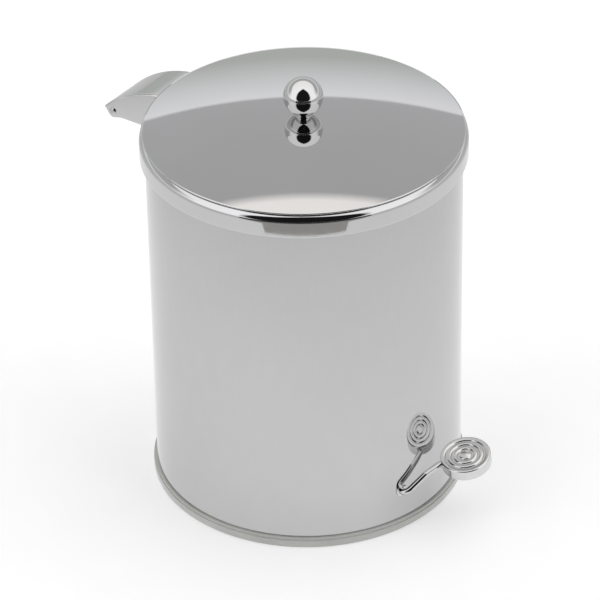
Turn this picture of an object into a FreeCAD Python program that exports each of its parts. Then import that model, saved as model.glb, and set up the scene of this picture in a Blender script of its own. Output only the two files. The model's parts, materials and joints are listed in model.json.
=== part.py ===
import FreeCAD, Part

import math
import os
import re

import Sketcher
from FreeCAD import Placement, Rotation, Vector

doc = FreeCAD.newDocument("pedal_bin")
sheet = doc.addObject("Spreadsheet::Sheet", "Dims")

# Driving dimensions, mm and degrees. Z is up, the floor is Z = 0, the pedal is towards -Y.
SIZES = {
    "tube_radius": 100.0,
    "tube_wall": 0.8,
    "tube_bottom": 3.0,
    "tube_top": 244.0,
    "base_radius": 102.1,
    "base_top": 7.0,
    "base_floor": 2.6,
    "base_foot": 0.8,
    "base_step": 5.1,
    "base_inner": 94.0,
    "collar_radius": 103.3,
    "collar_bottom": 235.0,
    "collar_shoulder": 5.3,
    "collar_top": 250.3,
    "collar_bore": 95.5,
    "ledge_bore": 90.0,
    "ledge_bottom": 239.5,
    "ledge_top": 242.0,
    "lid_radius": 101.5,
    "lid_apex": 261.2,
    "lid_sphere": 520.0,
    "lid_sheet": 0.9,
    "bead_radius": 0.6,
    "bead_height": 251.05,
    "knob_radius": 12.6,
    "knob_height": 274.1,
    "neck_radius": 3.2,
    "neck_flare": 5.4,
    "screw_radius": 2.0,
    "washer_radius": 7.0,
    "washer_thick": 1.0,
    "pin_across": 136.8,
    "pin_height": 227.7,
    "pin_radius": 1.8,
    "pin_head": 2.3,
    "pin_head_thick": 0.9,
    "ear_inner": 14.2,
    "ear_bottom": 225.2,
    "ear_end": 4.0,
    "bracket_bottom": 220.5,
    "bracket_sheet": 1.5,
    "slot_bottom": 213.5,
    "slot_top": 232.5,
    "slot_half": 2.6,
    "cover_half": 18.4,
    "cover_sheet": 1.0,
    "cover_arc": 82.0,
    "cover_start_across": 101.0,
    "cover_start_height": 250.7,
    "cover_tip_across": 143.4,
    "cover_tip_height": 229.7,
    "cheek_start": 102.6,
    "cheek_bottom": 224.6,
    "cheek_end": 4.6,
    "tongue_half": 9.0,
    "tongue_start": 84.0,
    "tongue_bottom": 250.5,
    "tongue_top": 251.3,
    "yoke_inner": 12.4,
    "yoke_outer": 13.8,
    "yoke_end": 3.8,
    "yoke_reach": 24.0,
    "web_height": 11.9,
    "web_thick": 1.2,
    "arm_drop": 5.0,
    "lug_half": 1.5,
    "shaft_turn": 18.9,
    "shaft_height": 29.0,
    "shaft_radius": 2.2,
    "bush_wall": 1.0,
    "running_fit": 0.06,
    "crank_length": 26.0,
    "crank_angle": 15.0,
    "crank_station": 88.3,
    "bearing_station": 76.0,
    "bearing_thick": 8.0,
    "bearing_half": 9.0,
    "cap_height": 5.5,
    "pad_radius": 16.3,
    "pad_thick": 8.0,
    "lift_radius": 1.5,
    "lift_aside": 4.0,
    "lift_across": 92.0,
    "lid_travel": 75.0,
    "guide_thick": 5.0,
    "bucket_bottom": 42.0,
    "bucket_foot": 78.0,
    "bucket_wall": 1.4,
    "bucket_neck": 88.2,
    "bucket_flange": 94.8,
    "flange_thick": 1.6,
    "bail_radius": 92.2,
    "bail_wire": 1.6,
    "bail_height": 245.6,
    "play": 0.3,
    "lug_length": 11.06,
    "lug_slot": 2.3,
    "guide_low": 60.0,
    "guide_high": 205.0,
    "screw_across": 10.0,
    "buffer_ring": 96.6,
    "buffer_radius": 2.2,
    "rivet_aside": 5.5,
    "rivet_inset": 4.5,
    "rivet_radius": 1.5,
    "rivet_head": 2.6,
    "bolt_radius": 1.6,
    "bolt_head": 2.6,
    "bolt_head_thick": 1.5,
    "nut_radius": 3.0,
    "nut_thick": 1.9,
    "cap_screw": 1.2,
    "cap_screw_head": 2.3,
    "cap_screw_aside": 6.0,
    "bush_lip": 0.6,
    "bush_flange": 1.2,
    "guide_half": 8.0,
    "guide_reach": 3.2,
    "spacer_radius": 3.2,
    "pad_groove": 0.8,
    "clip_width": 2.0,
    "rod_cap_radius": 3.4,
    "rod_cap_height": 8.0,
    "wedge_length": 9.5,
    "ear_height": 3.6,
}
for row, (name, size) in enumerate(SIZES.items(), start=1):
    sheet.set(f"A{row}", name)
    sheet.set(f"B{row}", str(size))
    sheet.setAlias(f"B{row}", name)
doc.recompute()

PIECES = []
ABOUT_X = Rotation(Vector(1, 0, 0), 90)
ABOUT_Y = Rotation(Vector(0, 1, 0), 90)


def bound(text):
    """The expression with each sheet alias written as other objects refer to it."""
    return re.sub(r"[a-z]\w*", lambda m: "Dims." + m.group() if m.group() in SIZES else m.group(), text)


def value(text):
    """The expression worked out from the sheet."""
    return float(sheet.evalExpression(text))


def finish(obj, label):
    """Gives a finished sub-part its name and puts it on the export list."""
    obj.Label = label
    PIECES.append(obj)
    return obj


def sketch_on(body, plane, outline):
    """A closed outline on one of the body's own planes. A corner is (x, y), or
    (x, y, radius, side) where an arc of that radius leads to it; side 1 keeps the arc's
    centre on the left of the way travelled and -1 on the right."""
    drawing = body.newObject("Sketcher::SketchObject", "Outline")
    origin = [f for f in body.Origin.OriginFeatures if f.Role == plane][0]
    drawing.AttachmentSupport = [(origin, "")]
    drawing.MapMode = "FlatFace"
    corners = [Vector(value(c[0]), value(c[1]), 0) for c in outline]
    starts, ends = [], []
    for i, here in enumerate(corners):
        step = outline[(i + 1) % len(outline)]
        there = corners[(i + 1) % len(corners)]
        if len(step) == 2:
            drawing.addGeometry(Part.LineSegment(here, there), False)
            starts.append(1)
            ends.append(2)
            continue
        radius, side = value(step[2]), step[3]
        half = (there - here) / 2
        left = Vector(-half.y, half.x, 0).normalize()
        rise = math.sqrt(max(radius**2 - half.Length**2, 0))
        centre = here + half + left * rise * side
        first, last = (here, there) if side > 0 else (there, here)
        turn = [math.atan2(p.y - centre.y, p.x - centre.x) for p in (first, last)]
        circle = Part.Circle(centre, Vector(0, 0, 1), radius)
        drawing.addGeometry(Part.ArcOfCircle(circle, turn[0], turn[1]), False)
        starts.append(1 if side > 0 else 2)
        ends.append(2 if side > 0 else 1)
    for i, corner in enumerate(outline):
        drawing.addConstraint(Sketcher.Constraint("Coincident", i - 1 if i else len(outline) - 1,
                                                  ends[i - 1], i, starts[i]))
        for axis, kind, text, at in ((-2, "DistanceX", corner[0], corners[i].x),
                                     (-1, "DistanceY", corner[1], corners[i].y)):
            if abs(at) < 1e-9:
                drawing.addConstraint(Sketcher.Constraint("PointOnObject", i, starts[i], axis))
                continue
            rule = drawing.addConstraint(Sketcher.Constraint(kind, -1, 1, i, starts[i], at))
            drawing.setExpression(f"Constraints[{rule}]", bound(text))
        step = outline[(i + 1) % len(outline)]
        if len(step) == 4:
            rule = drawing.addConstraint(Sketcher.Constraint("Radius", i, value(step[2])))
            drawing.setExpression(f"Constraints[{rule}]", bound(step[2]))
    return drawing


def turned(name, outline, placement=Placement()):
    """A body turned about Z from an outline of (radius, height) corners."""
    body = doc.addObject("PartDesign::Body", name)
    drawing = sketch_on(body, "XZ_Plane", outline)
    turn = body.newObject("PartDesign::Revolution", "Turn")
    turn.Profile = drawing
    turn.ReferenceAxis = (drawing, ["V_Axis"])
    turn.Angle = 360
    body.Placement = placement
    doc.recompute()
    return body


def plate(name, outline, low, high):
    """A body padded along X between two stations from an outline of (Y, Z) corners."""
    body = doc.addObject("PartDesign::Body", name)
    drawing = sketch_on(body, "YZ_Plane", outline)
    pad = body.newObject("PartDesign::Pad", "Thickness")
    pad.Profile = drawing
    pad.setExpression("Length", bound(f"({high}) - ({low})"))
    body.setExpression("Placement.Base.x", bound(low))
    doc.recompute()
    return body


def cylinder(name, radius, length, base=(), rotation=Rotation()):
    """A round bar whose lower end face is centred on base, where one is given."""
    bar = doc.addObject("Part::Cylinder", name)
    bar.Placement = Placement(Vector(), rotation)
    bar.setExpression("Radius", bound(radius))
    bar.setExpression("Height", bound(length))
    for axis, text in zip("xyz", base):
        bar.setExpression(f"Placement.Base.{axis}", bound(text))
    return bar


def block(name, lows, highs):
    """A box between two corners given as expressions."""
    box = doc.addObject("Part::Box", name)
    for side, axis, low, high in zip(("Length", "Width", "Height"), "xyz", lows, highs):
        box.setExpression(side, bound(f"({high}) - ({low})"))
        box.setExpression(f"Placement.Base.{axis}", bound(low))
    return box


def joined(name, shapes):
    """Several shapes fused into one, or kept as one group where they stand apart."""
    fuse = doc.addObject("Part::MultiFuse", name)
    fuse.Shapes = shapes
    return fuse


def cut(name, base, tool):
    piece = doc.addObject("Part::Cut", name)
    piece.Base = base
    piece.Tool = tool
    return piece


def common(name, base, tool):
    piece = doc.addObject("Part::Common", name)
    piece.Base = base
    piece.Tool = tool
    return piece


def bent_wire(name, points, bend, radius):
    """A round wire that follows straight runs through the points, with bent corners."""
    edges = []
    start = points[0]
    for before, corner, after in zip(points, points[1:], points[2:]):
        way_in = (corner - before).normalize()
        way_out = (after - corner).normalize()
        half = math.acos(max(-1, min(1, way_in * way_out))) / 2
        inset = bend * math.tan(half)
        enter = corner - way_in * inset
        leave = corner + way_out * inset
        inward = (way_out - way_in).normalize()
        middle = corner + inward * bend * (1 / math.cos(half) - 1)
        edges.append(Part.makeLine(start, enter))
        edges.append(Part.Arc(enter, middle, leave).toShape())
        start = leave
    edges.append(Part.makeLine(start, points[-1]))
    return swept(name, Part.Wire(edges), points[1] - points[0], radius)


def swept(name, path, heading, radius):
    """A round wire along a path that sets off towards heading."""
    disc = Part.Wire(Part.Circle(path.Vertexes[0].Point, heading, radius).toShape())
    piece = doc.addObject("Part::Feature", name)
    piece.Shape = path.makePipeShell([disc], True, False)
    piece.Placement = Placement()
    return piece


# Frame of the pedal shaft: station along it from the can's axis, and aside from it.
turn_angle = math.radians(value("shaft_turn"))
ALONG = Vector(-math.sin(turn_angle), -math.cos(turn_angle), 0)
ASIDE = Vector(math.cos(turn_angle), -math.sin(turn_angle), 0)
SHAFT_FRAME = Placement(Vector(0, 0, value("shaft_height")), Rotation(ASIDE, Vector(0, 0, 1), ALONG, "ZXY"))


def shaft_point(station, aside, rise):
    """A point in the room from its place beside the pedal shaft."""
    return ALONG * station + ASIDE * aside + Vector(0, 0, value("shaft_height") + rise)


def on_shaft(obj, station):
    """Stands a piece drawn about Z on the pedal shaft, its Z = 0 at the station."""
    obj.Placement = Placement(shaft_point(station, 0, 0), SHAFT_FRAME.Rotation)
    return obj


# Body
def body_tube():
    wall = turned("TubeWall", [("tube_radius - tube_wall", "tube_bottom"), ("tube_radius", "tube_bottom"),
                               ("tube_radius", "tube_top"), ("tube_radius - tube_wall", "tube_top")])
    bush_hole = on_shaft(cylinder("BushHole", "shaft_radius + bush_wall", "20"), value("tube_radius") - 10)
    slot = rod_slot("RodSlot")
    holes = bracket_drills("TubeDrills", "bolt_radius", "tube_radius - 6", "10")
    finish(cut("TubeShell", wall, joined("TubeHoles", [bush_hole, slot] + holes)), "body_tube")


def rod_slot(name):
    """Room through the wall for the lift rod's arm over its whole travel."""
    return block(name, ("lift_aside - slot_half", "tube_radius - 6", "slot_bottom"),
                 ("lift_aside + slot_half", "tube_radius + 4", "slot_top"))


def bracket_drills(name, radius, start, length):
    """Four bars along Y where the hinge bracket is screwed to the wall."""
    bars = []
    for side in ("-screw_across", "screw_across"):
        for height in ("bracket_bottom + 3.1", "collar_bottom - 3.8"):
            bars.append(cylinder(name, radius, length, (side, start, height), Rotation(Vector(1, 0, 0), -90)))
    return bars


def top_collar():
    finish(turned("Collar", [
        ("tube_radius", "collar_bottom"), ("collar_radius", "collar_bottom"),
        ("collar_radius", "collar_top - collar_shoulder"),
        ("collar_radius - collar_shoulder", "collar_top", "collar_shoulder", 1),
        ("collar_bore", "collar_top"), ("collar_bore", "ledge_top"), ("ledge_bore", "ledge_top"),
        ("ledge_bore", "ledge_bottom"), ("tube_radius - tube_wall", "ledge_bottom"),
        ("tube_radius - tube_wall", "tube_top"), ("tube_radius", "tube_top")]), "top_collar")


def pillar(name, station, low, high):
    """A block round the pedal shaft at a station, between two heights over the floor."""
    box = doc.addObject("Part::Box", name)
    box.setExpression("Length", bound("bearing_half * 2"))
    box.setExpression("Width", bound("bearing_thick"))
    box.setExpression("Height", bound(f"({high}) - ({low})"))
    corner = ASIDE * -value("bearing_half") + ALONG * (station + value("bearing_thick") / 2)
    upright = Rotation(ASIDE, -ALONG, Vector(0, 0, 1), "XZY")
    box.Placement = Placement(corner + Vector(0, 0, value(low)), upright)
    return box


BEARINGS = (value("bearing_station"), -value("bearing_station"))


def shaft_bore(name):
    length = 2 * value("bearing_station") + 20
    bore = cylinder(name, "shaft_radius + running_fit", str(length))
    return on_shaft(bore, -length / 2)


def cap_screw_bars(name, radius, low, length):
    """Upright bars at the two screws of each shaft bearing."""
    bars = []
    for station in BEARINGS:
        for side in (-1, 1):
            spot = shaft_point(station, side * value("cap_screw_aside"), 0)
            bars.append(cylinder(name, radius, length, (str(spot.x), str(spot.y), low)))
    return bars


def base_tray():
    tray = turned("Tray", [
        ("0", "0"), ("base_radius - base_foot", "0"), ("base_radius - base_foot", "base_foot"),
        ("base_radius", "base_foot"), ("base_radius", "base_step"), ("base_radius - base_foot", "base_step"),
        ("base_radius - base_foot", "base_top"),
        ("tube_radius", "base_top"), ("tube_radius", "tube_bottom"), ("tube_radius - tube_wall", "tube_bottom"),
        ("tube_radius - tube_wall", "base_top"), ("base_inner", "base_top"), ("base_inner", "base_floor"),
        ("0", "base_floor")])
    pillars = [pillar("Pillar", station, "base_floor - 0.6", "shaft_height") for station in BEARINGS]
    solid = joined("TrayWithPillars", [tray] + pillars)
    bores = [shaft_bore("TrayBore")] + cap_screw_bars("TrayDrill", "cap_screw", "shaft_height - 12", "20")
    finish(cut("TrayShell", solid, joined("TrayBores", bores)), "base_tray")


def bearing_caps():
    for name, station in zip(("front_bearing_cap", "rear_bearing_cap"), BEARINGS):
        block_over = pillar("CapBlock", station, "shaft_height", "shaft_height + cap_height")
        bores = [shaft_bore("CapBore")] + cap_screw_bars("CapDrill", "cap_screw", "shaft_height - 2", "20")
        finish(cut("Cap", block_over, joined("CapBores", bores)), name)


def bearing_screws():
    shanks = cap_screw_bars("CapShank", "cap_screw", "shaft_height - 11", "cap_height + 11")
    heads = cap_screw_bars("CapHead", "cap_screw_head", "shaft_height + cap_height", "1.4")
    finish(joined("CapScrews", shanks + heads), "bearing_screws")


def front_bush():
    bore, wall = "shaft_radius + running_fit", "shaft_radius + bush_wall"
    bush = turned("Bush", [
        (bore, "-1.9"), (f"{wall} + bush_flange", "-1.9"), (f"{wall} + bush_flange", "-1"), (wall, "-1"), (wall, "0"),
        (f"{wall} + bush_lip", "0"), (f"{wall} + bush_lip - 0.2", "0.9"), (bore, "0.9")])
    finish(on_shaft(bush, value("tube_radius")), "front_bush")


# Hinge cover's side profile: one arc from over the collar down to the tip behind the pin
HALF_CHORD_Y = (value("cover_tip_across") - value("cover_start_across")) / 2
HALF_CHORD_Z = (value("cover_tip_height") - value("cover_start_height")) / 2
HALF_CHORD = math.hypot(HALF_CHORD_Y, HALF_CHORD_Z)
ARC_RISE = math.sqrt(value("cover_arc") ** 2 - HALF_CHORD**2)
ARC_CENTRE_Y = value("cover_start_across") + HALF_CHORD_Y + HALF_CHORD_Z / HALF_CHORD * ARC_RISE
ARC_CENTRE_Z = value("cover_start_height") + HALF_CHORD_Z - HALF_CHORD_Y / HALF_CHORD * ARC_RISE


def cover_point(across, drop):
    """A corner on the profile, drop below the outer face, over a place behind the can."""
    radius = value("cover_arc") - drop
    return str(across), str(ARC_CENTRE_Z + math.sqrt(radius**2 - (across - ARC_CENTRE_Y) ** 2))


def cover_tip(drop):
    """The corner where the profile ends, drop below the outer face."""
    share = 1 - drop / value("cover_arc")
    return (str(ARC_CENTRE_Y + (value("cover_tip_across") - ARC_CENTRE_Y) * share),
            str(ARC_CENTRE_Z + (value("cover_tip_height") - ARC_CENTRE_Z) * share))


def under_cover(name, drop):
    """All the room below the cover's profile, out to its sides."""
    front = value("tube_radius") - 4
    radius = str(value("cover_arc") - drop)
    outline = [(str(front), "bracket_bottom - 20"), ("cover_tip_across", "bracket_bottom - 20"),
               cover_tip(drop), cover_point(front, drop) + (radius, 1)]
    return plate(name, outline, "-cover_half", "cover_half")


def round_end(end, bearing):
    """The corner at this bearing on a circle round the hinge pin, with its arc."""
    angle = math.radians(bearing)
    return (f"pin_across + {end} * {math.cos(angle)}", f"pin_height + {end} * {math.sin(angle)}", end, 1)


# Hinge, fixed side
def hinge_bracket():
    outline = [("tube_radius - 0.4", "ear_bottom"), round_end("ear_end", -140)[:2], round_end("ear_end", -20),
               round_end("ear_end", 90), ("collar_radius + 1", "collar_bottom - play"),
               ("tube_radius - 0.4", "collar_bottom - play")]
    left = plate("LeftEar", outline, "-ear_inner - bracket_sheet", "-ear_inner")
    right = plate("RightEar", outline, "ear_inner", "ear_inner + bracket_sheet")
    ring = turned("BackRing", [
        ("tube_radius", "bracket_bottom"), ("tube_radius + bracket_sheet", "bracket_bottom"),
        ("tube_radius + bracket_sheet", "collar_bottom - play"), ("tube_radius", "collar_bottom - play")])
    window = block("BackWindow", ("-ear_inner - bracket_sheet", "tube_radius - 4", "0"),
                   ("ear_inner + bracket_sheet", "tube_radius + 4", "collar_top"))
    solid = joined("BracketSolid", [left, right, common("Back", ring, window)])
    core = cylinder("TubeCore", "tube_radius", "collar_top")
    tools = [rod_slot("BracketSlot"), pin_bar("BracketPinHole", "pin_radius", "cover_half"), core]
    tools += bracket_drills("BracketDrills", "bolt_radius", "tube_radius - 6", "20")
    finish(cut("Bracket", solid, joined("BracketTools", tools)), "hinge_bracket")


def pin_bar(name, radius, half):
    """A bar on the hinge axis, reaching the same way to both sides."""
    return cylinder(name, radius, f"({half}) * 2", (f"-({half})", "pin_across", "pin_height"), ABOUT_Y)


def ring_on_pin(name, inner, outer, low, high):
    """A ring round the hinge axis between two stations along X."""
    body = turned(name, [(inner, low), (outer, low), (outer, high), (inner, high)])
    body.Placement = Placement(Vector(0, value("pin_across"), value("pin_height")), ABOUT_Y)
    return body


def hinge_pin():
    shank = pin_bar("PinShank", "pin_radius", "cover_half + 0.2")
    heads = []
    for side in (1, -1):
        head = turned("PinHead", [
            ("0", "cover_half + 0.1"), ("pin_head", "cover_half + 0.1"), ("pin_head", "cover_half + 0.4"),
            ("pin_head - 0.8", "cover_half + pin_head_thick"), ("0", "cover_half + pin_head_thick")])
        head.Placement = Placement(Vector(0, value("pin_across"), value("pin_height")),
                                   Rotation(Vector(0, 1, 0), 90 * side))
        heads.append(head)
    finish(joined("PinSolid", [shank] + heads), "hinge_pin")


def hinge_spacers():
    near, far = "ear_inner + bracket_sheet", "cover_half - cover_sheet - play"
    rings = [ring_on_pin("RightSpacer", "pin_radius", "spacer_radius", near, far),
             ring_on_pin("LeftSpacer", "pin_radius", "spacer_radius", f"-({far})", f"-({near})")]
    finish(joined("Spacers", rings), "hinge_spacers")


def bracket_screws():
    shanks = bracket_drills("ScrewShank", "bolt_radius", "tube_radius - 4", "bracket_sheet + 4")
    heads = bracket_drills("ScrewHead", "bolt_head", "tube_radius + bracket_sheet", "bolt_head_thick")
    finish(joined("Screws", shanks + heads), "bracket_screws")


def bracket_nuts():
    nuts = bracket_drills("NutBlank", "nut_radius", "tube_radius - 3.6", "nut_thick")
    bores = bracket_drills("NutBore", "bolt_radius", "tube_radius - 6", "8")
    finish(cut("Nuts", joined("NutBlanks", nuts), joined("NutBores", bores)), "bracket_nuts")


# Lid
def under_dome(name, drop):
    ball = doc.addObject("Part::Sphere", name)
    ball.setExpression("Radius", bound(f"lid_sphere - {drop}"))
    ball.setExpression("Placement.Base.z", bound("lid_apex - lid_sphere"))
    return ball


BEAD_AT = value("lid_radius - bead_radius")


def dome_height(radius, drop):
    """Height of the domed sheet over a point at this radius, drop below its outer face."""
    size = value("lid_sphere") - drop
    return value("lid_apex") - value("lid_sphere") + math.sqrt(size**2 - radius**2)


def lid_dome():
    sheet_drop = value("lid_sheet")
    dome = turned("DomeSheet", [
        ("0", "lid_apex - lid_sheet"),
        (str(BEAD_AT), str(dome_height(BEAD_AT, sheet_drop)), "lid_sphere - lid_sheet", -1),
        (str(BEAD_AT), str(dome_height(BEAD_AT, 0))),
        ("0", "lid_apex", "lid_sphere", 1)])
    bead = doc.addObject("Part::Torus", "Bead")
    bead.setExpression("Radius1", bound("lid_radius - bead_radius"))
    bead.setExpression("Radius2", bound("bead_radius"))
    bead.setExpression("Placement.Base.z", bound("bead_height"))
    tongue_room = block("TongueRoom", ("-tongue_half - 0.1", "tongue_start", "tongue_bottom - 2"),
                        ("tongue_half + 0.1", "lid_radius + 2", "tongue_top"))
    hole = cylinder("KnobHole", "screw_radius", "20", ("0", "0", "lid_apex - 10"))
    tools = joined("LidTools", [tongue_room, hole])
    finish(cut("Lid", joined("LidSolid", [dome, bead]), tools), "lid_dome")


def rivet_bars(name, radius, low, length):
    sides = ("-rivet_aside", "rivet_aside")
    return [cylinder(name, radius, length, (side, "tongue_start + rivet_inset", low)) for side in sides]


def knob():
    ball = doc.addObject("Part::Sphere", "Ball")
    ball.setExpression("Radius", bound("knob_radius"))
    ball.setExpression("Placement.Base.z", bound("knob_height"))
    bore = cylinder("BallBore", "screw_radius", "knob_radius - 3", ("0", "0", "knob_height - knob_radius"))
    finish(cut("Knob", ball, bore), "knob_ball")
    collar = turned("NeckBlank", [
        ("screw_radius", "lid_apex - 1"), ("neck_flare", "lid_apex - 1"), ("neck_flare", "lid_apex + 0.5"),
        ("neck_radius + 0.6", "lid_apex + 1"), ("neck_radius + 1.6", "lid_apex + 2.5"),
        ("screw_radius", "lid_apex + 2.5")])
    room = doc.addObject("Part::Sphere", "NeckBall")
    room.setExpression("Radius", bound("knob_radius"))
    room.setExpression("Placement.Base.z", bound("knob_height"))
    finish(cut("Neck", collar, joined("NeckTools", [under_dome("NeckDome", "0"), room])), "knob_neck")
    finish(turned("Washer", [
        ("screw_radius", "lid_apex - lid_sheet - washer_thick - 0.1"),
        ("washer_radius", "lid_apex - lid_sheet - washer_thick - 0.1"),
        ("washer_radius", "lid_apex - lid_sheet - 0.1"), ("screw_radius", "lid_apex - lid_sheet - 0.1")]),
        "knob_washer")
    under = "lid_apex - lid_sheet - washer_thick - 0.1"
    finish(turned("KnobScrew", [
        ("0", f"{under} - 2.4"), ("2.6", f"{under} - 2.4"), ("4", f"{under} - 1"), ("4", under),
        ("screw_radius", under), ("screw_radius", "knob_height - 4"), ("0", "knob_height - 4")]), "knob_screw")


def lid_buffers():
    feet = []
    for bearing in (-150, -90, -30):
        angle = math.radians(bearing)
        spot = [f"buffer_ring * {math.cos(angle)}", f"buffer_ring * {math.sin(angle)}", "collar_top + 0.2"]
        feet.append(cylinder("Buffer", "buffer_radius", "4", spot))
    finish(common("Buffers", joined("BufferBars", feet), under_dome("BufferDome", "lid_sheet")), "lid_buffers")


def hinge_cover():
    """A channel of sheet, open below, whose folded cheeks turn on the hinge pin."""
    sheet_in, inner_arc = value("cover_sheet"), "cover_arc - cover_sheet"
    front = value("collar_bore")
    top = plate("CoverTop", [cover_point(front, sheet_in), cover_tip(sheet_in) + (inner_arc, -1), cover_tip(0),
                             cover_point(front, 0) + ("cover_arc", 1)], "-cover_half", "cover_half")
    side = [("cheek_start", "cheek_bottom"), ("pin_across - 5.9", "cheek_bottom"),
            round_end("cheek_end", -106)[:2], round_end("cheek_end", -50), cover_tip(sheet_in), cover_tip(0),
            cover_point(value("cheek_start"), 0) + ("cover_arc", 1)]
    cheeks = [plate("LeftFold", side, "-cover_half", "-cover_half + cover_sheet"),
              plate("RightFold", side, "cover_half - cover_sheet", "cover_half")]
    lid_room = cylinder("LidRoom", "lid_radius + 0.1", "20", ("0", "0", "collar_top - 4"))
    channel = cut("CoverTrimmed", joined("CoverChannel", [top] + cheeks), lid_room)
    strap_end = value("cheek_start") + 1.4
    tongue = plate("Tongue", [
        ("tongue_start", "tongue_bottom"), ("tube_radius - 0.8", "tongue_bottom"),
        (str(strap_end), "tongue_bottom - 1.2"),
        cover_point(strap_end, 0), cover_point(value("tube_radius") - 3.2, 0) + ("cover_arc", 1),
        ("tongue_start", "tongue_top")], "-tongue_half", "tongue_half")
    drills = rivet_bars("CoverDrill", "rivet_radius", "tongue_bottom - 1", "8")
    drills.append(pin_bar("CheekBore", "pin_radius + running_fit", "cover_half + 1"))
    solid = joined("CoverWithTongue", [channel, tongue])
    finish(cut("Cover", solid, joined("CoverDrills", drills)), "hinge_cover")


def lid_spacer():
    wedge = block("Wedge", ("-tongue_half", "tongue_start", "tongue_top"),
                  ("tongue_half", "tongue_start + wedge_length", "tongue_top + 5"))
    kept = common("WedgeUnderLid", wedge, under_dome("WedgeDome", "lid_sheet"))
    finish(cut("Spacer", kept, joined("SpacerDrills", rivet_bars("SpacerDrill", "rivet_radius", "tongue_bottom", "8"))),
           "lid_spacer")


def lid_rivets():
    shanks = common("RivetShanks", joined("RivetBars", rivet_bars("RivetBar", "rivet_radius", "tongue_bottom", "6")),
                    under_dome("RivetDome", "lid_sheet"))
    heads = rivet_bars("RivetHead", "rivet_head", "tongue_bottom - 0.7", "0.7")
    finish(joined("LidRivets", [shanks] + heads), "lid_rivets")


def hinge_yoke():
    """Two arms on the pin that carry the cover, joined by a web."""
    outline = [("pin_across", "pin_height - yoke_end"), ("pin_across + yoke_end", "pin_height", "yoke_end", 1),
               ("pin_across", "pin_height + yoke_end", "yoke_end", 1), ("pin_across", "pin_height + 15"),
               ("pin_across - yoke_reach", "pin_height + 26"),
               ("pin_across - yoke_reach", "pin_height + web_height + 0.6"),
               ("pin_across - yoke_end", "pin_height")]
    arms = [plate("LeftArm", outline, "-yoke_outer", "-yoke_inner"),
            plate("RightArm", outline, "yoke_inner", "yoke_outer")]
    solid = common("YokeSolid", joined("YokeBlank", arms + [yoke_web("Web")]),
                   under_cover("YokeUnderCover", value("cover_sheet")))
    finish(cut("Yoke", solid, pin_bar("YokeBore", "pin_radius + running_fit", "20")), "hinge_yoke")


def yoke_web(name):
    return block(name, ("-yoke_inner", "pin_across - yoke_reach", "pin_height + web_height"),
                 ("yoke_inner", "pin_across - yoke_reach + 10", "pin_height + web_height + web_thick"))


def lift_lug():
    """The lever that the lift rod pushes; its slot lets the rod's end slide along it."""
    rest = math.radians(value("lid_travel") / 2)
    back, down = math.cos(rest), math.sin(rest)
    hub = pin_bar("LugHub", "yoke_end + 0.4", "lug_half")
    arm = doc.addObject("Part::Box", "LugArm")
    arm.setExpression("Length", bound("lug_half * 2"))
    arm.setExpression("Width", bound("lug_length + lug_slot"))
    arm.setExpression("Height", bound("lug_slot * 2 + 3"))
    tilt = Rotation(Vector(1, 0, 0), 180 + value("lid_travel") / 2)
    reach = Placement(Vector(0, value("pin_across"), value("pin_height")), tilt)
    arm.Placement = reach * Placement(Vector(-value("lug_half"), 0, -value("lug_slot + 1.5")), Rotation())
    tip = doc.addObject("Part::Cylinder", "LugTip")
    tip.setExpression("Radius", bound("lug_slot + 1.5"))
    tip.setExpression("Height", bound("lug_half * 2"))
    length = value("lug_length")
    tip_spot = Vector(0, value("pin_across") - length * back, value("pin_height") - length * down)
    tip.Placement = Placement(tip_spot - Vector(value("lug_half"), 0, 0), ABOUT_Y)
    mast = plate("LugMast", [("pin_across - 4", "pin_height - 1"), ("pin_across + 1", "pin_height"),
                             ("pin_across - 12", "pin_height + 16"), ("pin_across - 18", "pin_height + 16")],
                 "-lug_half", "lug_half")
    slot = block_slot(reach)
    solid = common("LugSolid", joined("LugBlank", [hub, arm, tip, mast]),
                   under_cover("LugUnderCover", value("cover_sheet")))
    bore = pin_bar("LugBore", "pin_radius + running_fit", "5")
    finish(cut("Lug", solid, joined("LugTools", slot + [yoke_web("WebRoom"), bore])), "lift_lug")


def block_slot(reach):
    """A slot along the lug from its tip towards the pin."""
    length = value("lug_length") * (1 - math.cos(math.radians(value("lid_travel") / 2)))
    box = doc.addObject("Part::Box", "SlotBox")
    box.setExpression("Length", bound("lug_half * 4"))
    box.setExpression("Height", bound("lug_slot * 2"))
    box.Width = length
    start = Vector(-value("lug_half") * 2, value("lug_length") - length, -value("lug_slot"))
    box.Placement = reach * Placement(start, Rotation())
    ends = []
    for along in (value("lug_length") - length, value("lug_length")):
        end = doc.addObject("Part::Cylinder", "SlotEnd")
        end.setExpression("Radius", bound("lug_slot"))
        end.setExpression("Height", bound("lug_half * 4"))
        end.Placement = reach * Placement(Vector(-value("lug_half") * 2, along, 0), ABOUT_Y)
        ends.append(end)
    return [box] + ends


# Pedal
PAD_TOP = Vector(0.9, -121.8, 48.3)
PAD_NORMAL = Vector(-0.196, 0.035, 0.98).normalize()


def pedal_rod():
    swing = math.radians(value("crank_angle"))
    crank = value("crank_length") + 4
    rear = -value("crank_station")
    points = [shaft_point(rear, -crank * math.cos(swing), -crank * math.sin(swing)), shaft_point(rear, 0, 0),
              shaft_point(105, 0, 0), shaft_point(105.2, 15.5, 8.4), shaft_point(106, 29, 12.4),
              shaft_point(112, 37, 13.6)]
    finish(bent_wire("PedalRod", points, 4.5, value("shaft_radius")), "pedal_rod")
    return points


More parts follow.
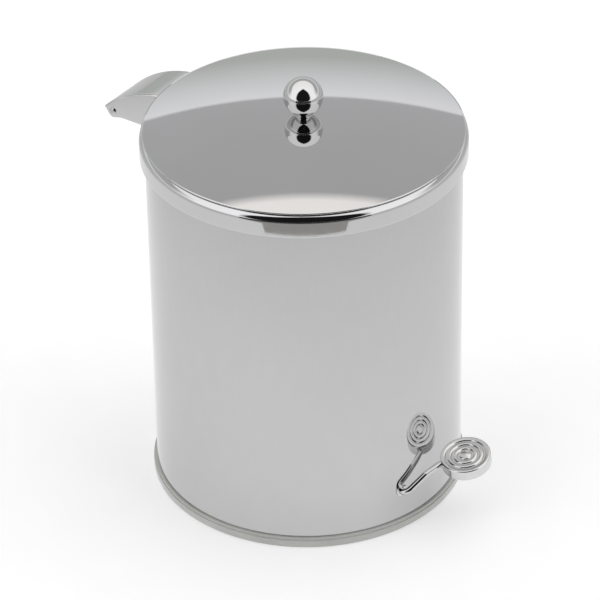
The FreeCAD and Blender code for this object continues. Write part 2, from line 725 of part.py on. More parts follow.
def pedal_pad(rod):
    """A disc with raised rings, tilted a little towards the foot."""
    thick = value("pad_thick")
    rings = [("0", "0"), ("pad_radius - 1", "0"), ("pad_radius", "1"), ("pad_radius", "pad_thick - 0.8"),
             ("pad_radius - 0.8", "pad_thick")]
    for ring in (13.4, 9.6, 5.8):
        rings += [(str(ring), "pad_thick"), (str(ring - 0.5), "pad_thick - pad_groove"),
                  (str(ring - 1.6), "pad_thick - pad_groove"), (str(ring - 2.1), "pad_thick")]
    rings += [("1.9", "pad_thick"), ("0", "pad_thick")]
    tilt = Rotation(Vector(0, 0, 1), PAD_NORMAL)
    disc = turned("PadDisc", rings, Placement(PAD_TOP - PAD_NORMAL * thick, tilt))
    room = doc.addObject("Part::Feature", "RodRoom")
    room.Shape = rod.Shape.copy()
    room.Placement = Placement()
    screw = turned("PadScrewBlank", [("0", "-0.9"), ("2.6", "-0.9"), ("2.6", "0"), ("1.4", "0"),
                                     ("1.4", "3"), ("0", "3")])
    screw.Placement = disc.Placement * Placement(Vector(-2.5, 3, 0), Rotation())
    screw_room = doc.addObject("Part::Cylinder", "ScrewRoom")
    screw_room.Radius = 1.4
    screw_room.Height = 3
    screw_room.Placement = screw.Placement
    finish(cut("Pad", disc, joined("PadTools", [room, screw_room])), "pedal_pad")
    rod_copy = doc.addObject("Part::Feature", "ScrewRodRoom")
    rod_copy.Shape = rod.Shape.copy()
    finish(cut("PadScrew", screw, rod_copy), "pad_screw")


def shaft_clips():
    rings = []
    for station in (-value("bearing_station") + 4.4, -value("bearing_station") - 5.4):
        ring = turned("ClipRing", [("shaft_radius", "0"), ("shaft_radius + clip_width", "0"),
                                   ("shaft_radius + clip_width", "1"), ("shaft_radius", "1")])
        rings.append(on_shaft(ring, station))
    finish(joined("Clips", rings), "shaft_clips")


# Lift rod
def lift_rod():
    rest = math.radians(value("lid_travel") / 2)
    hook_across = value("pin_across") - value("lug_length") * math.cos(rest)
    hook_height = value("pin_height") - value("lug_length") * math.sin(rest)
    aside, across = value("lift_aside"), value("lift_across")
    foot = value("shaft_height") - value("crank_length") * math.tan(math.radians(value("crank_angle"))) + 3.1
    arm_height = hook_height - value("arm_drop")
    points = [Vector(aside, across, foot), Vector(aside, across, arm_height),
              Vector(aside, across + 16, arm_height), Vector(aside, hook_across - 8, hook_height),
              Vector(aside, hook_across, hook_height), Vector(-3.2, hook_across, hook_height)]
    rod = finish(bent_wire("LiftRod", points, 1.9, value("lift_radius")), "lift_rod")
    cap = turned("FootCap", [("0", "-0.6"), ("rod_cap_radius - 1.2", "-0.2"), ("rod_cap_radius", "1.2"),
                             ("rod_cap_radius", "rod_cap_height"), ("lift_radius", "rod_cap_height"),
                             ("lift_radius", "0"), ("0", "0")])
    cap.Placement = Placement(points[0], Rotation())
    finish(cap, "rod_cap")
    return rod


def guides():
    for name, height in (("lower_guide", "guide_low"), ("upper_guide", "guide_high")):
        body = block("GuideBlock", ("lift_aside - guide_half", "lift_across - guide_reach", height),
                     ("lift_aside + guide_half", "tube_radius", f"{height} + guide_thick"))
        wall = cylinder("GuideWall", "tube_radius - tube_wall", "300")
        kept = common("GuideInWall", body, wall)
        hole = cylinder("GuideHole", "lift_radius + running_fit", "300", ("lift_aside", "lift_across", "0"))
        finish(cut("Guide", kept, hole), name)


# Bucket
def bucket():
    shell = turned("BucketShell", [
        ("0", "bucket_bottom"), ("bucket_foot", "bucket_bottom"), ("bucket_neck", "ledge_top + 0.05"),
        ("bucket_flange", "ledge_top + 0.05"), ("bucket_flange", "ledge_top + flange_thick"),
        ("bucket_neck - bucket_wall", "ledge_top + flange_thick"),
        ("bucket_foot - bucket_wall", "bucket_bottom + bucket_wall"), ("0", "bucket_bottom + bucket_wall")])
    ears = [block("RightEar", ("bucket_neck", "-4", "ledge_top + 1"),
                  ("bucket_neck + flange_thick", "4", "bail_height + ear_height")),
            block("LeftEar", ("-bucket_neck - flange_thick", "-4", "ledge_top + 1"),
                  ("-bucket_neck", "4", "bail_height + ear_height"))]
    holes = cylinder("EarHoles", "bail_wire + running_fit", "200", ("-100", "0", "bail_height"), ABOUT_Y)
    finish(cut("Bucket", joined("BucketSolid", [shell] + ears), holes), "bucket")


def bucket_handle():
    size, height, bend = value("bail_radius"), value("bail_height"), 2.4
    corner = bend * (1 - math.sqrt(0.5))
    inner = value("bucket_neck") - 2.2
    right = Part.Arc(Vector(size - bend, 0, height), Vector(size - corner, -corner, height),
                     Vector(size, -bend, height))
    front = Part.Arc(Vector(size, -bend, height), Vector(0, -size, height), Vector(-size, -bend, height))
    left = Part.Arc(Vector(-size, -bend, height), Vector(corner - size, -corner, height),
                    Vector(bend - size, 0, height))
    edges = [Part.makeLine(Vector(inner, 0, height), Vector(size - bend, 0, height)), right.toShape(),
             front.toShape(), left.toShape(),
             Part.makeLine(Vector(bend - size, 0, height), Vector(-inner, 0, height))]
    finish(swept("Bail", Part.Wire(edges), Vector(1, 0, 0), value("bail_wire")), "bucket_handle")


body_tube()
top_collar()
base_tray()
bearing_caps()
bearing_screws()
front_bush()
hinge_bracket()
hinge_pin()
hinge_spacers()
bracket_screws()
bracket_nuts()
lid_dome()
knob()
lid_buffers()
hinge_cover()
lid_spacer()
lid_rivets()
hinge_yoke()
lift_lug()
pedal_rod()
pedal_pad(PIECES[-1])
shaft_clips()
lift_rod()
guides()
bucket()
bucket_handle()
doc.recompute()

for obj in doc.Objects:
    if "Invalid" in obj.State or "Error" in obj.State:
        raise RuntimeError(f"{obj.Name} did not build: {obj.State} {[o.Name for o in obj.InList]}")
os.makedirs("parts", exist_ok=True)
for piece in PIECES:
    if piece.Shape.isNull() or not piece.Shape.isValid() or piece.Shape.Volume < 1:
        raise RuntimeError(f"{piece.Label} has no sound solid")
    piece.Shape.exportStep(f"parts/{piece.Label}.step")
    print(piece.Label, round(piece.Shape.Volume), len(piece.Shape.Solids))
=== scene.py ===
import json
import math

import bmesh
import bpy
from mathutils import Matrix, Vector


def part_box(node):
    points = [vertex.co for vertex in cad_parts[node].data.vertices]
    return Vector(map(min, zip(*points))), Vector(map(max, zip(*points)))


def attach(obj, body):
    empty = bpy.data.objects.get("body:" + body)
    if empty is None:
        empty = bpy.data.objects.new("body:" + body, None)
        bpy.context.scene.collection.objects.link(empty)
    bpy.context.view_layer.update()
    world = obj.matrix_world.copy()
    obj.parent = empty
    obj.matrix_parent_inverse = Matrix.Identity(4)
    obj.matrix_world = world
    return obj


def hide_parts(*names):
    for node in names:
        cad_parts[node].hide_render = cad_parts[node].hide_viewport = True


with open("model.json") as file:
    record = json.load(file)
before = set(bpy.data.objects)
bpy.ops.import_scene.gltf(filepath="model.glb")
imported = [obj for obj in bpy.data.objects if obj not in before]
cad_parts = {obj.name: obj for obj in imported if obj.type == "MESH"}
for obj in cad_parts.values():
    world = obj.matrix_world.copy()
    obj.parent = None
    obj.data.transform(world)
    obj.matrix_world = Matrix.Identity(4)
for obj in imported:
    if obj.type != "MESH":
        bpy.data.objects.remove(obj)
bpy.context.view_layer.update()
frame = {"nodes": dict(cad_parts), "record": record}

# Sizes in metres, repeated from the CAD model where a finer piece stands for a CAD node.
TUBE_RADIUS = 0.100
TUBE_WALL = 0.0008
TUBE_BOTTOM = 0.003
TUBE_TOP = 0.244
ROD_SLOT = ((0.0014, 0.094, 0.2135), (0.0066, 0.102, 0.2325))
COLLAR_RADIUS = 0.1033
COLLAR_BOTTOM = 0.235
COLLAR_TOP = 0.2503
COLLAR_SHOULDER = 0.0053
COLLAR_BORE = 0.0955
COLLAR_LIP = 0.0008
COLLAR_INNER_EDGE = 0.0006
LEDGE_BORE = 0.090
LEDGE_TOP = 0.242
LEDGE_BOTTOM = 0.2395
LID_APEX = 0.2612
LID_SPHERE = 0.520
LID_SHEET = 0.0009
BEAD_RADIUS = 0.0006
BEAD_AT = 0.1015 - BEAD_RADIUS
BEAD_HEIGHT = 0.25105
SCREW_RADIUS = 0.0020
SCREW_ROOM = 0.0021
BALL_RADIUS = 0.0126
BALL_HEIGHT = 0.2741
BALL_SEAT = 0.0046
PAD_RADIUS = 0.0163
PAD_THICK = 0.008
PAD_RINGS = (0.0132, 0.0093, 0.0054)
PAD_GROOVE = 0.0009
PAD_LOWER_EDGE = 0.0012
PAD_UPPER_EDGE = 0.0009
PAD_TOP = Vector((0.0009, -0.1218, 0.0483))
PAD_NORMAL = Vector((-0.196, 0.035, 0.98)).normalized()
COVER_HALF = 0.0184
COVER_SHEET = 0.001
COVER_ARC = 0.082
COVER_START = (0.101, 0.2507)
COVER_TIP = (0.1434, 0.2297)
COVER_FOLD = 0.0013
CHEEK_START = 0.1026
CHEEK_BOTTOM = 0.2246
CHEEK_END = 0.0046
CHEEK_KINK = 0.1309
PIN = (0.1368, 0.2277)
TONGUE_HALF = 0.009
TONGUE_START = 0.084
TONGUE_BOTTOM = 0.2505
TONGUE_TOP = 0.2513
STRAP_END = 0.104
COVER_INNER_RADIUS = 0.1016


# Meshes
def add_mesh(name, verts, faces, crease=35):
    """A smooth-shaded mesh object whose sharp corners stay crisp."""
    mesh = bpy.data.meshes.new(name)
    mesh.from_pydata(verts, [], faces)
    work = bmesh.new()
    work.from_mesh(mesh)
    bmesh.ops.remove_doubles(work, verts=work.verts, dist=1e-7)
    bmesh.ops.recalc_face_normals(work, faces=work.faces)
    work.to_mesh(mesh)
    work.free()
    mesh.shade_smooth()
    mesh.set_sharp_from_angle(angle=math.radians(crease))
    obj = bpy.data.objects.new(name, mesh)
    bpy.context.collection.objects.link(obj)
    return obj


def arc(centre, radius, start, end, steps=10):
    """Points along an arc of the profile plane, angles in degrees."""
    angles = [math.radians(start + (end - start) * i / steps) for i in range(steps + 1)]
    return [(centre[0] + radius * math.cos(a), centre[1] + radius * math.sin(a)) for a in angles]


def lathe(name, profile, turns=288, closed=True, crease=35):
    """A profile of (radius, height) points turned about Z."""
    verts = []
    for i in range(turns):
        angle = 2 * math.pi * i / turns
        verts += [(r * math.cos(angle), r * math.sin(angle), z) for r, z in profile]
    size = len(profile)
    faces = []
    for i in range(turns):
        near, far = i * size, (i + 1) % turns * size
        for k in range(size if closed else size - 1):
            after = (k + 1) % size
            faces.append((near + k, far + k, far + after, near + after))
    return add_mesh(name, verts, faces, crease)


def take_away(obj, cutters):
    """Cuts other meshes out of an object and deletes them."""
    for cutter in cutters:
        step = obj.modifiers.new("Cut", "BOOLEAN")
        step.operation = "DIFFERENCE"
        step.solver = "EXACT"
        step.object = cutter
    graph = bpy.context.evaluated_depsgraph_get()
    mesh = bpy.data.meshes.new_from_object(obj.evaluated_get(graph))
    obj.modifiers.clear()
    obj.data = mesh
    for cutter in cutters:
        bpy.data.objects.remove(cutter)


def slab(name, low, high):
    """A box between two corners."""
    verts = [(x, y, z) for x in (low[0], high[0]) for y in (low[1], high[1]) for z in (low[2], high[2])]
    faces = [(0, 1, 3, 2), (4, 6, 7, 5), (0, 4, 5, 1), (2, 3, 7, 6), (0, 2, 6, 4), (1, 5, 7, 3)]
    return add_mesh(name, verts, faces)


def plate(name, outline, low, high):
    """An outline of (Y, Z) corners drawn out along X between two stations."""
    count = len(outline)
    verts = [(x, y, z) for x in (low, high) for y, z in outline]
    faces = [tuple(range(count)), tuple(range(2 * count - 1, count - 1, -1))]
    faces += [(i, (i + 1) % count, count + (i + 1) % count, count + i) for i in range(count)]
    return add_mesh(name, verts, faces)


def soften(obj, width, steps=3):
    """Rounds an object's sharp edges."""
    bevel = obj.modifiers.new("Rounding", "BEVEL")
    bevel.width = width
    bevel.segments = steps
    bevel.limit_method = "ANGLE"
    bevel.angle_limit = math.radians(35)
    bevel.harden_normals = True


def stand(obj, body, *nodes):
    """Rides on a body in the place of CAD nodes."""
    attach(obj, body)
    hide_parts(*nodes)
    return obj


slot_of = {entry["node"]: entry["material_slot"] for entry in frame["record"]["subparts"]}


# Materials
def shader(name):
    """A material with its Principled shader, object coordinates and a node maker."""
    material = bpy.data.materials.new(name)
    material.use_nodes = True
    nodes = material.node_tree.nodes
    principled = nodes["Principled BSDF"]
    place = nodes.new("ShaderNodeTexCoord")
    return material, nodes, material.node_tree.links, principled, place


def noise(nodes, links, place, scale, detail=3.0, stretch=(1, 1, 1)):
    """A noise pattern in object space, stretched along an axis where asked."""
    mapping = nodes.new("ShaderNodeMapping")
    mapping.inputs["Scale"].default_value = stretch
    pattern = nodes.new("ShaderNodeTexNoise")
    pattern.inputs["Scale"].default_value = scale
    pattern.inputs["Detail"].default_value = detail
    links.new(place.outputs["Object"], mapping.inputs["Vector"])
    links.new(mapping.outputs["Vector"], pattern.inputs["Vector"])
    return pattern


def ramp(nodes, links, source, stops):
    """A colour ramp fed by a value; stops are (position, colour)."""
    node = nodes.new("ShaderNodeValToRGB")
    bar = node.color_ramp
    while len(bar.elements) < len(stops):
        bar.elements.new(0.5)
    for element, (position, colour) in zip(bar.elements, stops):
        element.position = position
        element.color = (*colour, 1) if len(colour) == 3 else colour
    links.new(source, node.inputs["Fac"])
    return node


def spread(nodes, links, source, low, high):
    """Maps a pattern's 0.3 to 0.7 onto low to high."""
    node = nodes.new("ShaderNodeMapRange")
    node.inputs["From Min"].default_value = 0.3
    node.inputs["From Max"].default_value = 0.7
    node.inputs["To Min"].default_value = low
    node.inputs["To Max"].default_value = high
    links.new(source, node.inputs["Value"])
    return node


def bump(nodes, links, principled, source, strength, distance):
    node = nodes.new("ShaderNodeBump")
    node.inputs["Strength"].default_value = strength
    node.inputs["Distance"].default_value = distance
    links.new(source, node.inputs["Height"])
    links.new(node.outputs["Normal"], principled.inputs["Normal"])


def grey(level, warm=0.0):
    return (level * (1 + warm), level, level * (1 - warm))


def metal(name, level, rough, patch, grain, stretch=(1, 1, 1), relief=0.02, warm=0.0):
    """Bare or plated metal: slight cloudiness, a polishing grain and a roughness that varies."""
    material, nodes, links, principled, place = shader(name)
    principled.inputs["Metallic"].default_value = 1.0
    cloud = noise(nodes, links, place, patch, 4.0)
    shades = [(0.3, grey(level * 0.96, warm)), (0.7, grey(level, warm))]
    tint = ramp(nodes, links, cloud.outputs["Fac"], shades)
    links.new(tint.outputs["Color"], principled.inputs["Base Color"])
    lines = noise(nodes, links, place, grain, 2.0, stretch)
    shine = spread(nodes, links, lines.outputs["Fac"], rough * 0.6, rough * 1.5)
    links.new(shine.outputs["Result"], principled.inputs["Roughness"])
    bump(nodes, links, principled, lines.outputs["Fac"], relief, 0.00005)
    return material


def moulded(name, light, dark, rough, relief, sheen=0.0):
    """Moulded plastic or rubber: fine surface grain and faint mottling."""
    material, nodes, links, principled, place = shader(name)
    cloud = noise(nodes, links, place, 60, 5.0)
    tint = ramp(nodes, links, cloud.outputs["Fac"], [(0.3, dark), (0.7, light)])
    links.new(tint.outputs["Color"], principled.inputs["Base Color"])
    grain = noise(nodes, links, place, 1800, 2.0)
    shine = spread(nodes, links, grain.outputs["Fac"], rough * 0.85, rough * 1.15)
    links.new(shine.outputs["Result"], principled.inputs["Roughness"])
    principled.inputs["Sheen Weight"].default_value = sheen
    bump(nodes, links, principled, grain.outputs["Fac"], relief, 0.0002)
    return material


# Metals: level, roughness, cloud scale, grain scale, grain stretch, relief, warmth.
# Mouldings: light tone, dark tone, roughness, relief, sheen.
finishes = {
    "polished_steel": metal("polished_steel", 0.57, 0.05, 9, 160, (1, 1, 0.05), 0.01),
    "chrome_trim": metal("chrome_trim", 0.66, 0.03, 12, 300, (1, 1, 1), 0.005),
    "pad_metal": metal("pad_metal", 0.70, 0.12, 150, 2600, (1, 1, 1), 0.12),
    "wire_steel": metal("wire_steel", 0.62, 0.07, 60, 900, (1, 1, 1), 0.02),
    "base_plastic": moulded("base_plastic", (0.56, 0.56, 0.535), (0.50, 0.50, 0.475), 0.36, 0.1),
    "black_plastic": moulded("black_plastic", (0.030, 0.030, 0.032), (0.018, 0.018, 0.019), 0.42, 0.25),
    "bush_metal": metal("bush_metal", 0.7, 0.06, 200, 2000),
    "zinc_steel": metal("zinc_steel", 0.56, 0.2, 40, 500, (1, 1, 1), 0.04, 0.01),
    "buffer_rubber": moulded("buffer_rubber", grey(0.022), grey(0.012), 0.7, 0.4, 0.2),
}


def dress(obj, slot):
    """Gives every material slot of an object the finish of one of the record's slots."""
    if not obj.material_slots:
        obj.data.materials.append(finishes[slot])
    for place in obj.material_slots:
        place.material = finishes[slot]


for node, obj in frame["nodes"].items():
    dress(obj, slot_of[node])


# Body
def body_tube():
    """The wall: a rolled sheet with the shaft hole and the lift rod's slot."""
    outside = [(TUBE_RADIUS, z) for z in (TUBE_BOTTOM, 0.0072, 0.05, 0.12, 0.2, TUBE_TOP)]
    inside = [(TUBE_RADIUS - TUBE_WALL, TUBE_TOP)]
    wall = lathe("tube_sheet", [(TUBE_RADIUS - TUBE_WALL, TUBE_BOTTOM)] + outside + inside, 360)
    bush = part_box("front_bush")
    middle = (bush[0] + bush[1]) / 2
    room = Vector((0.003, 0.006, 0.003))
    drill = slab("drill", middle - room, middle + room)
    slot = slab("slot", *ROD_SLOT)
    take_away(wall, [drill, slot])
    wall.data.shade_smooth()
    wall.data.set_sharp_from_angle(angle=math.radians(35))
    dress(stand(wall, "bin", "body_tube"), "polished_steel")


def top_collar():
    """Ring with a rounded shoulder outside and the bucket's ledge inside."""
    shoulder = (COLLAR_RADIUS - COLLAR_SHOULDER, COLLAR_TOP - COLLAR_SHOULDER)
    profile = [(TUBE_RADIUS + 0.00005, COLLAR_BOTTOM + 0.0004), (TUBE_RADIUS + COLLAR_LIP, COLLAR_BOTTOM)]
    profile += arc((COLLAR_RADIUS - COLLAR_LIP, COLLAR_BOTTOM + COLLAR_LIP), COLLAR_LIP, -90, 0, 5)
    profile += [(COLLAR_RADIUS, COLLAR_BOTTOM + 0.0010), (COLLAR_RADIUS, shoulder[1] - 0.0003)]
    profile += arc(shoulder, COLLAR_SHOULDER, 0, 90, 16)
    mouth = (COLLAR_BORE + COLLAR_INNER_EDGE, COLLAR_TOP - COLLAR_INNER_EDGE)
    profile += arc(mouth, COLLAR_INNER_EDGE, 90, 180, 4)
    profile += [(COLLAR_BORE, LEDGE_TOP), (LEDGE_BORE, LEDGE_TOP), (LEDGE_BORE, LEDGE_BOTTOM),
                (TUBE_RADIUS - TUBE_WALL, LEDGE_BOTTOM), (TUBE_RADIUS - TUBE_WALL, TUBE_TOP),
                (TUBE_RADIUS, TUBE_TOP)]
    dress(stand(lathe("collar_ring", profile), "bin", "top_collar"), "chrome_trim")


# Lid
def dome_height(radius, drop=0.0):
    return LID_APEX - LID_SPHERE + math.sqrt((LID_SPHERE - drop) ** 2 - radius**2)


def lid():
    """Domed sheet whose edge is rolled into a bead."""
    steps = 40
    reach = BEAD_AT - 0.0002
    radii = [SCREW_ROOM + (reach - SCREW_ROOM) * i / steps for i in range(steps + 1)]
    outer = [(r, dome_height(r)) for r in radii]
    bead = arc((BEAD_AT, BEAD_HEIGHT), BEAD_RADIUS, 72, -190, 16)
    inner = [(r, dome_height(r, LID_SHEET)) for r in reversed(radii) if r < BEAD_AT - LID_SHEET]
    sheet = lathe("lid_sheet", outer + bead + inner)
    notch = TONGUE_HALF + 0.0001
    room = slab("room", (-notch, TONGUE_START, 0.2485), (notch, 0.1034, TONGUE_TOP))
    take_away(sheet, [room])
    sheet.data.shade_smooth()
    sheet.data.set_sharp_from_angle(angle=math.radians(35))
    dress(stand(sheet, "lid", "lid_dome"), "chrome_trim")


def knob():
    """Turned ball with a seat for its neck, and the waisted neck under it."""
    seat = math.degrees(math.acos(BALL_SEAT / BALL_RADIUS))
    skin = arc((0, BALL_HEIGHT), BALL_RADIUS, -seat, 90, 72)
    skin[-1] = (0.0, BALL_HEIGHT + BALL_RADIUS)
    floor = skin[0][1] + 0.0004
    profile = [(SCREW_RADIUS, floor), (0.0044, floor)] + skin
    ball = lathe("ball", profile, 144, closed=False)
    dress(stand(ball, "lid", "knob_ball"), "chrome_trim")
    low, waist = LID_APEX - 0.0002, LID_APEX + 0.0010
    neck = [(SCREW_RADIUS, low), (0.0054, low), (0.0056, LID_APEX + 0.0002), (0.0050, LID_APEX + 0.0006),
            (0.0042, waist), (0.0040, waist + 0.0006), (0.0044, waist + 0.0014),
            (SCREW_RADIUS, waist + 0.0014)]
    dress(stand(lathe("ferrule", neck, 96, crease=50), "lid", "knob_neck"), "chrome_trim")


COVER_CHORD = ((COVER_TIP[0] - COVER_START[0]) / 2, (COVER_TIP[1] - COVER_START[1]) / 2)
COVER_RISE = math.sqrt(COVER_ARC**2 / (COVER_CHORD[0] ** 2 + COVER_CHORD[1] ** 2) - 1)
COVER_CENTRE = (COVER_START[0] + COVER_CHORD[0] + COVER_CHORD[1] * COVER_RISE,
                COVER_START[1] + COVER_CHORD[1] - COVER_CHORD[0] * COVER_RISE)


def cover_height(across):
    """Height of the hinge cover's outer face, on one arc from its start to its tip."""
    return COVER_CENTRE[1] + math.sqrt(COVER_ARC**2 - (across - COVER_CENTRE[0]) ** 2)


# Lower edge of the cover's cheeks, from the collar round the hinge pin to the tip
CHEEK_EDGE = [(CHEEK_START, CHEEK_BOTTOM), (CHEEK_KINK, CHEEK_BOTTOM)]
CHEEK_EDGE += arc(PIN, CHEEK_END, -106, -50, 8) + [(0.1427, 0.2289), (COVER_TIP[0], 0.2296)]


def cheek_bottom(across):
    for (y0, z0), (y1, z1) in zip(CHEEK_EDGE, CHEEK_EDGE[1:]):
        if y0 - 1e-7 <= across <= y1 + 1e-7:
            return z0 + (z1 - z0) * min(1, max(0, (across - y0) / (y1 - y0)))
    return COVER_TIP[1] + 1


def cover_ring(share):
    """One cross-section of the channel: its outer line from cheek to cheek, then its inner one."""
    turn = [math.radians(15 * k) for k in range(7)]
    across_at = [(0.0, -1.0)] + [(1 - math.cos(a), math.sin(a) - 1) for a in turn]
    rings = []
    for inset, bend in ((0.0, COVER_FOLD), (COVER_SHEET, COVER_FOLD - COVER_SHEET)):
        half = COVER_HALF - inset
        flat = [(half - bend) * (1 - k / 12) for k in range(13)]
        line = [(half - bend * a, bend * b) for a, b in across_at] + [(x, 0.0) for x in flat[1:]]
        line += [(-x, fall) for x, fall in reversed(line[:-1])]
        ring = []
        for k, (x, fall) in enumerate(line):
            start = math.sqrt(COVER_INNER_RADIUS**2 - x**2)
            across = start + (COVER_TIP[0] - start) * share
            top = cover_height(across)
            if k in (0, len(line) - 1):
                ring.append((x, across, min(cheek_bottom(across), top - COVER_FOLD - 0.0001)))
                continue
            sink = inset / COVER_ARC * (0 if k in (1, len(line) - 2) else 1)
            ring.append((x, across + (COVER_CENTRE[0] - across) * sink,
                         top + (COVER_CENTRE[1] - top) * inset / COVER_ARC + fall))
        rings.append(ring)
    return rings


def hinge_cover():
    """Channel of sheet with folded cheeks, and the tongue that runs under the lid."""
    side_start = math.sqrt(COVER_INNER_RADIUS**2 - COVER_HALF**2)
    stations = [side_start, (side_start + CHEEK_START) / 2, CHEEK_START - 0.00002, CHEEK_START]
    stations += [CHEEK_START + (CHEEK_KINK - CHEEK_START) * i / 24 for i in range(1, 25)]
    stations += [y for y, _ in CHEEK_EDGE[2:]]
    sections = [cover_ring((y - side_start) / (COVER_TIP[0] - side_start)) for y in stations]
    size = len(sections[0][0])
    verts = [point for section in sections for ring in section for point in ring]
    faces = []
    for j in range(len(sections) - 1):
        near, far = 2 * size * j, 2 * size * (j + 1)
        for k in range(size - 1):
            faces.append((near + k, near + k + 1, far + k + 1, far + k))
            faces.append((near + size + k, far + size + k, far + size + k + 1, near + size + k + 1))
        for k in (0, size - 1):
            faces.append((near + k, far + k, far + size + k, near + size + k))
    for end in (0, 2 * size * (len(sections) - 1)):
        faces += [(end + k, end + k + 1, end + size + k + 1, end + size + k) for k in range(size - 1)]
    channel = add_mesh("cover_channel", verts, faces, 28)
    strap = [(TONGUE_START, TONGUE_BOTTOM), (TUBE_RADIUS - 0.0008, TONGUE_BOTTOM),
             (STRAP_END, TONGUE_BOTTOM - 0.0012)]
    strap += [(y, cover_height(y)) for y in (STRAP_END, 0.1022, 0.1004, 0.0986, 0.0969)]
    strap += [(TONGUE_START, TONGUE_TOP)]
    tongue = plate("cover_tongue", strap, -TONGUE_HALF, TONGUE_HALF)
    soften(tongue, 0.00015)
    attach(tongue, "lid")
    dress(tongue, "chrome_trim")
    dress(stand(channel, "lid", "hinge_cover"), "chrome_trim")


# Pedal
def pedal_pad():
    """Cast disc with three raised rings round a centre boss."""
    profile = [(0.0, 0.0), (PAD_RADIUS - PAD_LOWER_EDGE, 0.0)]
    profile += arc((PAD_RADIUS - PAD_LOWER_EDGE, PAD_LOWER_EDGE), PAD_LOWER_EDGE, -90, 0, 5)
    profile += arc((PAD_RADIUS - PAD_UPPER_EDGE, PAD_THICK - PAD_UPPER_EDGE), PAD_UPPER_EDGE, 0, 90, 6)
    for ring in PAD_RINGS:
        profile += [(ring + 0.0003, PAD_THICK), (ring - 0.0001, PAD_THICK - 0.0003),
                    (ring - 0.0004, PAD_THICK - PAD_GROOVE), (ring - 0.0012, PAD_THICK - PAD_GROOVE),
                    (ring - 0.0015, PAD_THICK - 0.0003), (ring - 0.0019, PAD_THICK)]
    profile += [(0.0018, PAD_THICK), (0.0013, PAD_THICK + 0.0002), (0.0, PAD_THICK + 0.0003)]
    disc = lathe("pad_disc", profile, 128, closed=False, crease=60)
    tilt = PAD_NORMAL.to_track_quat("Z", "Y").to_matrix().to_4x4()
    disc.data.transform(Matrix.Translation(PAD_TOP - PAD_NORMAL * PAD_THICK) @ tilt)
    dress(stand(disc, "pedal", "pedal_pad"), "pad_metal")


body_tube()
top_collar()
lid()
knob()
hinge_cover()
pedal_pad()


# Stage, light and camera
EYE = Vector((-1.683, -1.196, 1.490))
TARGET = Vector((-0.00243, 0.00340, 0.12227))
ROLL = math.radians(-1.0)
TOWARDS_CAMERA = Vector((EYE.x, EYE.y, 0)).normalized()
PAPER_GLOW = 0.38
# Painted reflection card for the table's bare end and the dark beyond, seen only in mirror surfaces:
# distance from the can's axis, half angle of the fan
REFLECTION_CARD_FAN = ((0.474, 25), (0.5, 29), (0.6, 36), (0.95, 42), (7.8, 42))
FAN_STEPS = 24


def blend_colour(tree, amount, base, colour):
    """Goes from one colour socket to a plain colour by an amount."""
    node = tree.nodes.new("ShaderNodeMix")
    node.data_type = "RGBA"
    tree.links.new(amount, node.inputs["Factor"])
    tree.links.new(base, node.inputs[6])
    node.inputs[7].default_value = (*colour, 1)
    return node.outputs[2]


def math_node(tree, operation, *items):
    node = tree.nodes.new("ShaderNodeMath")
    node.operation = operation
    for socket, item in zip(node.inputs, items):
        if isinstance(item, (int, float)):
            socket.default_value = item
        else:
            tree.links.new(item, socket)
    return node.outputs[0]


def paper():
    """Pale floor that glows a little, so that shadows on it stay soft; for glossy rays only, its colour
    and glow are painted darker away from the bin, a painted shade that mirror surfaces show."""
    material, nodes, links, principled, place = shader("paper")
    fibres = noise(nodes, links, place, 40, 3.0)
    tint = ramp(nodes, links, fibres.outputs["Fac"], [(0.3, grey(0.70)), (0.7, grey(0.72))])
    reach = nodes.new("ShaderNodeVectorMath")
    reach.operation = "LENGTH"
    links.new(place.outputs["Object"], reach.inputs[0])
    far = spread(nodes, links, reach.outputs["Value"], 0.0, 0.42)
    far.inputs["From Min"].default_value = 0.16
    far.inputs["From Max"].default_value = 0.75
    sight = nodes.new("ShaderNodeLightPath")
    tree = material.node_tree
    # Painted shade: seen in mirror surfaces, the floor darkens and glows less with distance from the bin.
    painted_reflection_shade = math_node(tree, "MULTIPLY", far.outputs["Result"], sight.outputs["Is Glossy Ray"])
    painted_dim_colour = blend_colour(tree, painted_reflection_shade, tint.outputs["Color"], (0.0, 0.0, 0.0))
    links.new(painted_dim_colour, principled.inputs["Base Color"])
    glow = math_node(tree, "MULTIPLY_ADD", painted_reflection_shade, -PAPER_GLOW, PAPER_GLOW)
    links.new(glow, principled.inputs["Emission Strength"])
    principled.inputs["Roughness"].default_value = 0.9
    principled.inputs["Emission Color"].default_value = (0.985, 0.985, 1, 1)
    return material


def floor():
    ground = slab("floor", (-8, -8, -0.02), (8, 8, -0.0001))
    ground.data.materials.append(paper())


def reflection_only_card():
    """A card that paints the reflection of the table's bare end past the paper, then the dark room; it
    shows only in reflections.
    """
    facing = math.atan2(TOWARDS_CAMERA.y, TOWARDS_CAMERA.x)
    verts = []
    for reach, half_angle in REFLECTION_CARD_FAN:
        for k in range(FAN_STEPS + 1):
            turn = facing + math.radians(half_angle * (2 * k / FAN_STEPS - 1))
            verts.append((reach * math.cos(turn), reach * math.sin(turn), 0.0005))
    row = FAN_STEPS + 1
    faces = [(row * j + k, row * j + k + 1, row * j + k + row + 1, row * j + k + row)
             for j in range(len(REFLECTION_CARD_FAN) - 1) for k in range(FAN_STEPS)]
    # Painted reflection: a dark card that only mirror surfaces see.
    card = add_mesh("table", verts, faces)
    material, nodes, links, principled, place = shader("painted_reflection_card")
    reach = nodes.new("ShaderNodeVectorMath")
    reach.operation = "LENGTH"
    links.new(place.outputs["Object"], reach.inputs[0])
    # Painted reflection colour: grey near the bin, going black far off.
    tint = ramp(nodes, links, reach.outputs["Value"], [
        (0.0, (0.40, 0.395, 0.375)), (0.7, (0.36, 0.355, 0.34)), (0.95, (0.012, 0.012, 0.012))])
    links.new(tint.outputs["Color"], principled.inputs["Base Color"])
    principled.inputs["Roughness"].default_value = 0.7
    card.data.materials.append(material)
    card.visible_camera = False
    card.visible_shadow = False
    card.visible_diffuse = False


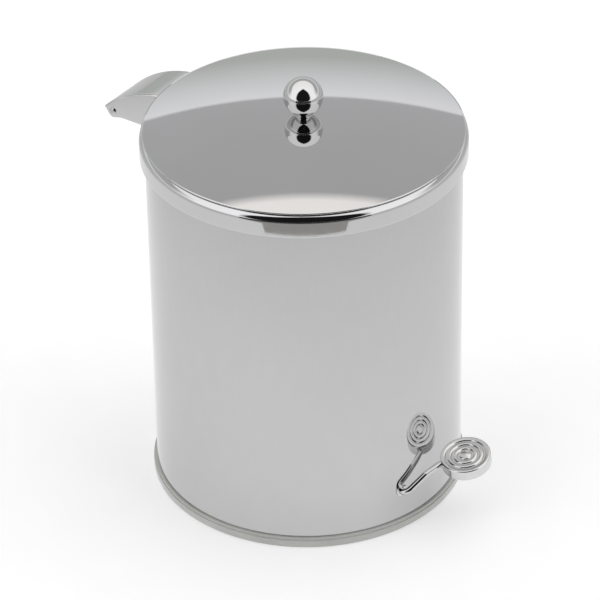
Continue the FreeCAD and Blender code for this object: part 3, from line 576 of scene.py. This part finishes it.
def surroundings():
    """A pale studio: bands of light by height, and the dark room behind the photographer."""
    world = bpy.data.worlds.new("studio")
    bpy.context.scene.world = world
    world.use_nodes = True
    tree = world.node_tree
    nodes, links = tree.nodes, tree.links
    place = nodes.new("ShaderNodeTexCoord")
    parts = nodes.new("ShaderNodeSeparateXYZ")
    links.new(place.outputs["Generated"], parts.inputs[0])
    height = parts.outputs["Z"]
    facing = nodes.new("ShaderNodeVectorMath")
    facing.operation = "DOT_PRODUCT"
    links.new(place.outputs["Generated"], facing.inputs[0])
    facing.inputs[1].default_value = TOWARDS_CAMERA
    squared = math_node(tree, "MULTIPLY", height, height)
    level = math_node(tree, "SQRT", math_node(tree, "SUBTRACT", 1.0, squared))
    aside = math_node(tree, "ADD", level, facing.outputs["Value"])
    bands = ramp(nodes, links, math_node(tree, "MULTIPLY_ADD", aside, 0.35, height), [
        (0.0, (0.50, 0.525, 0.50)), (0.2, (0.545, 0.565, 0.545)), (0.33, (0.80, 0.81, 0.82)),
        (0.428, (0.97, 0.97, 1.0)), (0.436, (0.54, 0.54, 0.55)), (0.766, (0.505, 0.505, 0.51)),
        (0.785, (1.15, 1.12, 1.09)), (1.0, (1.2, 1.19, 1.17))])
    share = math_node(tree, "DIVIDE", facing.outputs["Value"], math_node(tree, "MAXIMUM", level, 0.001))
    near_side = spread(nodes, links, facing.outputs["Value"], 0.0, 1.0)
    near_side.inputs["From Min"].default_value = -0.15
    near_side.inputs["From Max"].default_value = 0.25
    walls = blend_colour(tree, near_side.outputs["Result"], bands.outputs["Color"], (1.25, 1.25, 1.27))
    across = math_node(tree, "DIVIDE", math_node(tree, "SUBTRACT", 1.0, share), 0.26)
    lift = math_node(tree, "ABSOLUTE", math_node(tree, "MULTIPLY_ADD", height, 1.9, -0.80))
    upward = math_node(tree, "POWER", lift, 4.0)
    opening = spread(nodes, links, math_node(tree, "ADD", across, upward), 1.0, 0.0)
    opening.inputs["From Min"].default_value = 0.85
    opening.inputs["From Max"].default_value = 1.15
    room = blend_colour(tree, opening.outputs["Result"], walls, (0.012, 0.012, 0.013))
    sight = nodes.new("ShaderNodeLightPath")
    seen = blend_colour(tree, sight.outputs["Is Camera Ray"], room, (1, 1, 1))
    links.new(seen, nodes["Background"].inputs["Color"])


def lamp(name, place, size, power):
    """A soft square lamp aimed at the bin, kept out of the mirror surfaces."""
    data = bpy.data.lights.new(name, "AREA")
    data.size = size
    data.energy = power
    obj = bpy.data.objects.new(name, data)
    obj.location = place
    obj.rotation_euler = (Vector((0, 0, 0.12)) - Vector(place)).to_track_quat("-Z", "Y").to_euler()
    obj.visible_glossy = False
    bpy.context.collection.objects.link(obj)


def camera():
    data = bpy.data.cameras.new("camera")
    data.lens = 231.06
    data.sensor_width = 36
    data.clip_end = 50
    obj = bpy.data.objects.new("camera", data)
    forward = (TARGET - EYE).normalized()
    right = forward.cross(Vector((0, 0, 1))).normalized()
    up = right.cross(forward)
    across = right * math.cos(ROLL) + up * math.sin(ROLL)
    upright = up * math.cos(ROLL) - right * math.sin(ROLL)
    turn = Matrix((across, upright, -forward)).transposed()
    obj.matrix_world = Matrix.Translation(EYE) @ turn.to_4x4()
    bpy.context.collection.objects.link(obj)
    bpy.context.scene.camera = obj


floor()
reflection_only_card()
surroundings()
lamp("key", (0.6, -0.4, 2.2), 2.4, 7)
lamp("fill", (-1.6, 0.9, 1.6), 2.0, 3)
camera()
bpy.context.scene.view_settings.view_transform = "Standard"
